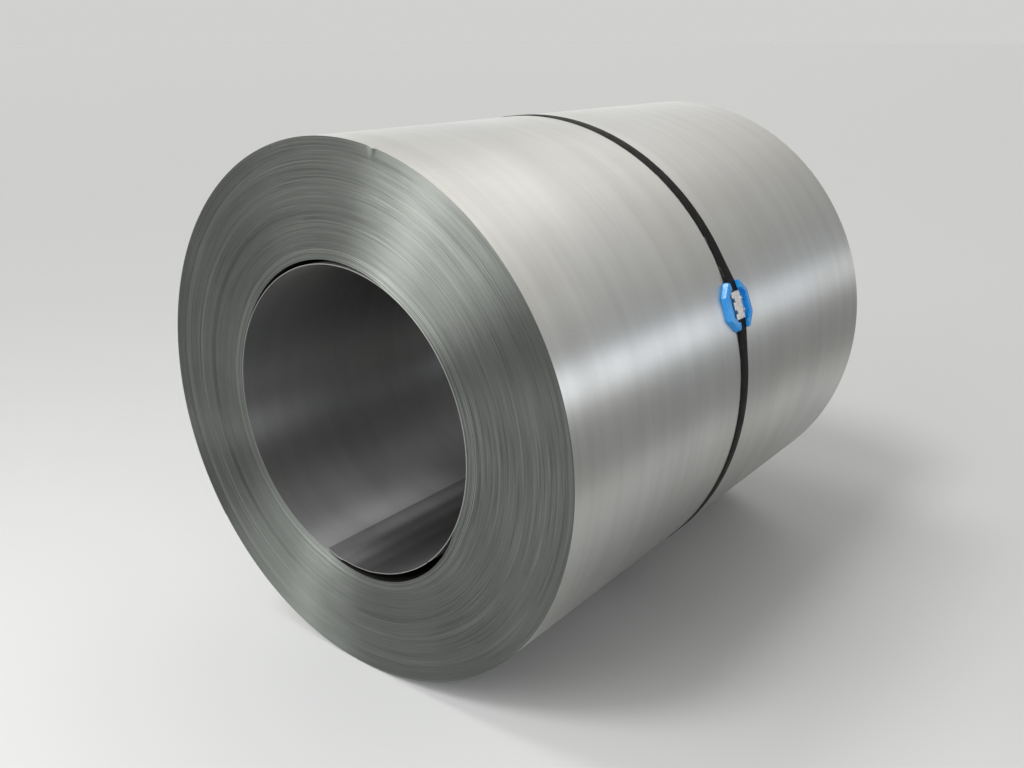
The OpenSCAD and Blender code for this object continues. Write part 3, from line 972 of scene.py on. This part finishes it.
def add_light(scene, name, kind, at, aim):
    """Adds a light at a place, pointing at another, and returns its data."""
    light = bpy.data.lights.new(name, kind)
    holder = bpy.data.objects.new(name, light)
    holder.location = at
    holder.rotation_euler = (Vector(aim) - Vector(at)).to_track_quat("-Z", "Y").to_euler()
    holder.visible_camera = False
    scene.collection.objects.link(holder)
    return light


def add_lamp(scene, name, at, aim, watts, size):
    """Adds a rectangular soft lamp, with its width and height as its size."""
    lamp = add_light(scene, name, "AREA", at, aim)
    lamp.energy = watts
    lamp.shape = "RECTANGLE"
    lamp.size, lamp.size_y = size


def floor_finish(stage):
    """Pale matt floor with a painted shadow: its tone falls off in a wide patch beside the coil on the seal's
    side, past the picture's edge, so that the coil's lower outside mirrors that painted shade."""
    finish = Finish("pale_floor")
    place = finish.add("ShaderNodeSeparateXYZ", {"Vector": finish.object_place()})
    across = place.outputs["Y"]
    aslant = finish.math("SUBTRACT", across, finish.math("MULTIPLY", place.outputs["X"], 0.2))
    # Painted shadow: this patch darkens the floor's colour beside the coil on the seal's side.
    begins, ends = finish.fit(aslant, -1.0, -1.75, 0.0, 1.0), finish.fit(across, -12.0, -3.0, 0.0, 1.0)
    level = finish.fit(finish.math("MULTIPLY", begins, ends), 0.0, 1.0, 1.0, stage.floor_painted_shade)
    toned = finish.tone(tuple(stage.floor_colour), level)
    finish.shade({"Base Color": toned, "Roughness": 0.7, "Specular IOR Level": 0.3})
    return finish.material


class STEELCOIL_OT_set_stage(bpy.types.Operator):
    """Sets the pale floor, the soft studio light and the camera."""

    bl_idname = "steelcoil.set_stage"
    bl_label = "Set stage"

    def execute(self, context):
        scene = context.scene
        stage = scene.stage_settings
        scene.view_settings.view_transform = "Standard"
        reach = stage.floor_reach
        mesh = bpy.data.meshes.new("floor")
        corners = reach * np.array([[-1, -1, 0], [1, -1, 0], [1, 1, 0], [-1, 1, 0]])
        mesh.from_pydata(corners, [], [[0, 1, 2, 3]])
        floor = bpy.data.objects.new("floor", mesh)
        scene.collection.objects.link(floor)
        mesh.materials.append(floor_finish(stage))

        suns = {"key": (stage.key_way, stage.key_level), "side": (stage.side_way, stage.side_level)}
        for name, (way, energy) in suns.items():
            sun = add_light(scene, name, "SUN", 5 * Vector(way), (0, 0, 0))
            sun.energy = energy
            sun.angle = stage.sun_angle
        eye_front, eye_middle = (CAD_BOX[0].x, 0, AXIS_H), (0, 0, AXIS_H)
        front_size = (stage.front_size, stage.front_height)
        fill_size = (stage.fill_size, stage.fill_size)
        add_lamp(scene, "front_lamp", stage.front_place, eye_front, stage.front_power, front_size)
        add_lamp(scene, "fill_lamp", stage.fill_place, eye_middle, stage.fill_power, fill_size)

        lens = bpy.data.cameras.new("camera")
        lens.lens = stage.lens
        lens.sensor_width = 36
        camera = bpy.data.objects.new("camera", lens)
        camera.location = stage.camera_place
        camera.rotation_euler = Vector(stage.camera_aim).to_track_quat("-Z", "Y").to_euler()
        scene.collection.objects.link(camera)
        scene.camera = camera
        studio_world(scene)
        return {"FINISHED"}


def studio_world(scene):
    """Soft light from all round, in strips that run along the eye: by the angle round the coil, a bright
    strip low on the seal's side, a calm grey over it, a paler top and a bright strip low on the other side.
    Near the floor the light has the floor's own tone, apart from the seal's side."""
    world = bpy.data.worlds.new("studio")
    world.use_nodes = True
    scene.world = world
    sky = Nodes(world.node_tree)
    way = sky.add("ShaderNodeSeparateXYZ", {"Vector": sky.add("ShaderNodeTexCoord").outputs["Generated"]})
    way_x, way_y, way_z = (way.outputs[axis] for axis in "XYZ")
    turn = sky.math("ARCTAN2", way_z, sky.math("MULTIPLY", way_y, -1.0))
    round_share = sky.math("DIVIDE", turn, math.pi)
    far_side = [(0.84, (0.72, 0.72, 0.7)), (0.92, (1.1, 1.1, 1.09))]
    calm = sky.ramp(round_share, [
        (0.065, (0.53, 0.55, 0.59)), (0.1, (0.42, 0.43, 0.44)), (0.22, (0.3, 0.3, 0.29)),
        (0.33, (0.27, 0.27, 0.26)), (0.47, (0.24, 0.235, 0.23)), (0.6, (0.28, 0.275, 0.27)),
        (0.72, (0.42, 0.415, 0.41)), *far_side])
    bright = sky.ramp(round_share, [
        (0.065, (2.0, 2.06, 2.2)), (0.1, (0.56, 0.57, 0.58)), (0.14, (0.6, 0.6, 0.6)),
        (0.22, (0.92, 0.9, 0.88)), (0.33, (1.3, 1.26, 1.22)), (0.47, (1.85, 1.79, 1.73)),
        (0.6, (1.65, 1.6, 1.55)), (0.72, (1.05, 1.02, 0.99)), *far_side])
    front = sky.ramp(round_share, [
        (0.065, (1.3, 1.35, 1.4)), (0.1, (0.3, 0.3, 0.3)), (0.5, (0.36, 0.36, 0.36)),
        (0.7, (0.7, 0.7, 0.69)), (0.82, (1.3, 1.3, 1.28))])
    back_on, back_off = sky.fit(way_x, 0.3, 0.6, 0.0, 1.0), sky.fit(way_x, 0.74, 0.92, 1.0, 0.0)
    back = sky.mix(sky.math("MULTIPLY", back_on, back_off), calm, bright)
    strips = sky.mix(sky.fit(way_x, 0.0, -0.5, 0.0, 1.0), back, front)
    pale = (0.632, 0.634, 0.622, 1.0)
    seal_side = sky.fit(way_y, -0.3, -0.5, 0.0, 1.0)
    low = sky.math("MULTIPLY", seal_side, sky.fit(way_z, 0.0, 0.03, 0.0, 1.0))
    above = sky.math("MAXIMUM", low, sky.fit(way_z, 0.04, 0.08, 0.0, 1.0))
    sky.feed(sky.tree.nodes["Background"].inputs["Color"], sky.mix(above, pale, strips))


class STEELCOIL_PT_panel(bpy.types.Panel):
    """Lists the steps and the sizes of the steel coil."""

    bl_label = "Steel coil"
    bl_idname = "STEELCOIL_PT_panel"
    bl_space_type = "VIEW_3D"
    bl_region_type = "UI"
    bl_category = "Steel coil"

    def draw(self, context):
        for operator in OPERATORS:
            self.layout.operator(operator.bl_idname)
        for group, kind in SETTINGS.items():
            box = self.layout.box()
            box.label(text=kind.__doc__)
            for name in kind.__annotations__:
                box.prop(getattr(context.scene, group), name)


SETTINGS = {
    "coil_settings": CoilSettings,
    "strap_settings": StrapSettings,
    "pad_settings": PadSettings,
    "stage_settings": StageSettings,
}
OPERATORS = (
    STEELCOIL_OT_wind_coil,
    STEELCOIL_OT_tension_strap,
    STEELCOIL_OT_crimp_seal,
    STEELCOIL_OT_mould_pad,
    STEELCOIL_OT_set_stage,
)
CLASSES = (*SETTINGS.values(), *OPERATORS, STEELCOIL_PT_panel)


def register():
    for kind in CLASSES:
        bpy.utils.register_class(kind)
    for group, kind in SETTINGS.items():
        setattr(bpy.types.Scene, group, bpy.props.PointerProperty(type=kind))


def unregister():
    for group in SETTINGS:
        delattr(bpy.types.Scene, group)
    for kind in reversed(CLASSES):
        bpy.utils.unregister_class(kind)


def main():
    register()
    bpy.ops.steelcoil.wind_coil()
    bpy.ops.steelcoil.tension_strap()
    bpy.ops.steelcoil.crimp_seal()
    bpy.ops.steelcoil.mould_pad()
    bpy.ops.steelcoil.set_stage()


if __name__ == "__main__":
    main()
